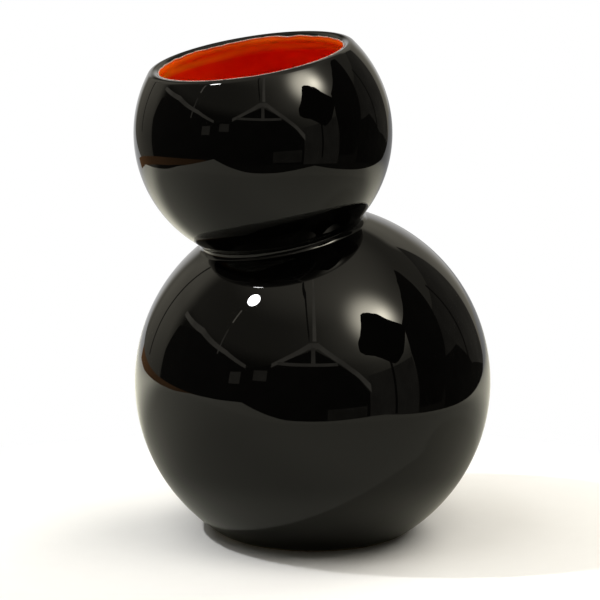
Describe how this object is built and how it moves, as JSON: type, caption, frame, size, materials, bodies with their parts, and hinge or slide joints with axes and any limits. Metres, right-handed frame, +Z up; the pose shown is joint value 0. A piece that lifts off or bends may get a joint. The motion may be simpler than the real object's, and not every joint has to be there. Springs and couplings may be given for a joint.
{
  "type": "double gourd vase",
  "caption": "Leaning ceramic vase of a small globe joined on a large one, glossy black outside and orange inside, with a slanted round mouth.",
  "frame": {"origin": "middle of the round foot, on the surface that the vase stands on", "axes": "+Z up; the upper globe leans towards -X in the XZ plane, and the high side of the slanted mouth is towards +X"},
  "size_m": [0.2016, 0.2, 0.2801],
  "materials": {
    "bare_clay": "matt bare stoneware",
    "black_glaze": "high gloss glaze",
    "orange_glaze": "gloss glaze"
  },
  "bodies": {
    "root": {"foot_ring": "bare_clay", "base": "bare_clay", "lower_globe": "bare_clay", "waist_coil": "bare_clay", "upper_globe": "bare_clay", "lower_black_coat": "black_glaze", "waist_black_coat": "black_glaze", "upper_black_coat": "black_glaze", "lower_orange_lining": "orange_glaze", "waist_orange_lining": "orange_glaze", "upper_orange_lining": "orange_glaze"}
  },
  "joints": []
}
